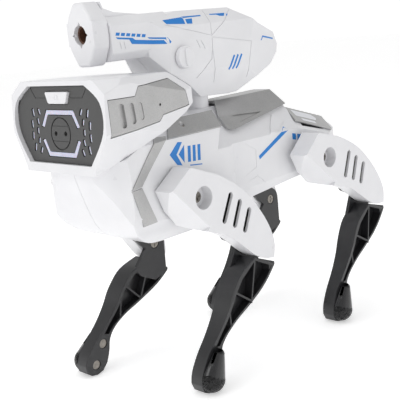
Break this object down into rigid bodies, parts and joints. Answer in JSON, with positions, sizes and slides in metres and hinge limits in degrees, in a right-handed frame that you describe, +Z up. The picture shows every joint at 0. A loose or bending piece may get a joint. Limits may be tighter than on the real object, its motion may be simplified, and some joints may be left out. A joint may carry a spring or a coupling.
{
  "type": "robot dog toy",
  "caption": "Four-legged robot dog toy with jointed hips and knees, a swivelling launcher on its back and a grey light-bar face.",
  "frame": {"origin": "on the floor, under the middle of the dog's bounding box", "axes": "-Y is where the dog faces, +X its left side, +Z up"},
  "size_m": [0.118, 0.2662, 0.2565],
  "materials": {
    "white_shell": "injection-moulded white ABS, semi-gloss",
    "silver_trim": "moulded trim sprayed with satin silver paint",
    "face_grey": "dark grey moulded ABS, fine matt grain",
    "lens": "milky diffusing lens",
    "black_leg": "black moulded nylon, semi-gloss",
    "black_boot": "polished black plastic",
    "screw_steel": "nickel-plated steel",
    "battery": "heat-shrink sleeve",
    "board": "solder mask on laminate",
    "gearbox": "moulded gearbox housing",
    "speaker": "moulded basket and paper cone",
    "tube_brown": "brown moulded tube"
  },
  "bodies": {
    "trunk": {"chest_shell_left": "white_shell", "chest_shell_right": "white_shell", "rear_shell_left": "white_shell", "rear_shell_right": "white_shell", "chest_strip_left": "silver_trim", "chest_strip_right": "silver_trim", "shoulder_plate_left": "silver_trim", "shoulder_plate_right": "silver_trim", "shoulder_screws": "screw_steel", "saddle_cover": "silver_trim", "rump_plate": "silver_trim", "rump_cap": "black_leg", "belly_door": "white_shell", "belly_screws": "screw_steel", "battery_pack": "battery", "main_board": "board", "gearbox_front": "gearbox", "gearbox_rear": "gearbox", "head_shell": "white_shell", "head_panel_left": "silver_trim", "head_panel_right": "silver_trim", "face_plate": "face_grey", "light_bars": "lens", "light_studs": "lens", "speaker": "speaker"},
    "thigh_fl": {"thigh_shell_fl": "white_shell", "thigh_plate_fl": "white_shell", "hip_shaft_fl": "screw_steel", "hip_screw_fl": "screw_steel"},
    "shin_fl": {"shin_fl": "black_leg", "boot_fl": "black_boot", "leg_screws_fl": "screw_steel"},
    "thigh_fr": {"thigh_shell_fr": "white_shell", "thigh_plate_fr": "white_shell", "hip_shaft_fr": "screw_steel", "hip_screw_fr": "screw_steel"},
    "shin_fr": {"shin_fr": "black_leg", "boot_fr": "black_boot", "leg_screws_fr": "screw_steel"},
    "thigh_rl": {"thigh_shell_rl": "white_shell", "thigh_plate_rl": "white_shell", "hip_shaft_rl": "screw_steel", "hip_screw_rl": "screw_steel"},
    "shin_rl": {"shin_rl": "black_leg", "boot_rl": "black_boot", "leg_screws_rl": "screw_steel"},
    "thigh_rr": {"thigh_shell_rr": "white_shell", "thigh_plate_rr": "white_shell", "hip_shaft_rr": "screw_steel", "hip_screw_rr": "screw_steel"},
    "shin_rr": {"shin_rr": "black_leg", "boot_rr": "black_boot", "leg_screws_rr": "screw_steel"},
    "launcher": {"launcher_shell_left": "white_shell", "launcher_shell_right": "white_shell", "muzzle_cap": "white_shell", "launch_tube": "tube_brown", "turret_post": "white_shell"},
    "knob": {"side_knob": "white_shell"},
    "button": {"power_button": "white_shell"}
  },
  "joints": [
    {"name": "hip_fl", "type": "hinge", "parent": "trunk", "child": "thigh_fl", "pos_m": [0.036, -0.066, 0.131], "axis": [1, 0, 0], "range_deg": [-16, 16]},
    {"name": "knee_fl", "type": "hinge", "parent": "thigh_fl", "child": "shin_fl", "pos_m": [0.046, -0.018, 0.091], "axis": [1, 0, 0], "range_deg": [-7, 7]},
    {"name": "hip_fr", "type": "hinge", "parent": "trunk", "child": "thigh_fr", "pos_m": [-0.036, -0.066, 0.131], "axis": [1, 0, 0], "range_deg": [-16, 16]},
    {"name": "knee_fr", "type": "hinge", "parent": "thigh_fr", "child": "shin_fr", "pos_m": [-0.046, -0.02999, 0.07994], "axis": [1, 0, 0], "range_deg": [-7, 7]},
    {"name": "hip_rl", "type": "hinge", "parent": "trunk", "child": "thigh_rl", "pos_m": [0.036, 0.066, 0.131], "axis": [1, 0, 0], "range_deg": [-16, 16]},
    {"name": "knee_rl", "type": "hinge", "parent": "thigh_rl", "child": "shin_rl", "pos_m": [0.046, 0.11792, 0.09624], "axis": [1, 0, 0], "range_deg": [-7, 7]},
    {"name": "hip_rr", "type": "hinge", "parent": "trunk", "child": "thigh_rr", "pos_m": [-0.036, 0.066, 0.131], "axis": [1, 0, 0], "range_deg": [-16, 16]},
    {"name": "knee_rr", "type": "hinge", "parent": "thigh_rr", "child": "shin_rr", "pos_m": [-0.046, 0.10506, 0.08223], "axis": [1, 0, 0], "range_deg": [-7, 7]},
    {"name": "launcher_swivel", "type": "hinge", "parent": "trunk", "child": "launcher", "pos_m": [0, -0.009, 0.17], "axis": [0, 0, 1], "range_deg": [-30, 30]},
    {"name": "knob_turn", "type": "hinge", "parent": "launcher", "child": "knob", "pos_m": [0.02, -0.037, 0.216], "axis": [1, 0, 0], "range_deg": [0, 90]},
    {"name": "power_press", "type": "slide", "parent": "trunk", "child": "button", "axis": [0, 0.9973, -0.0732], "range_m": [0, 0.0012], "stiffness_N_per_m": 300}
  ],
  "couplings": [
    {"joint": "hip_fr", "follows": "hip_fl", "ratio": -1},
    {"joint": "hip_rr", "follows": "hip_rl", "ratio": -1},
    {"joint": "knee_fl", "follows": "hip_fl", "ratio": -0.4},
    {"joint": "knee_rl", "follows": "hip_rl", "ratio": -0.4},
    {"joint": "knee_fr", "follows": "hip_fl", "ratio": 0.4},
    {"joint": "knee_rr", "follows": "hip_rl", "ratio": 0.4}
  ]
}
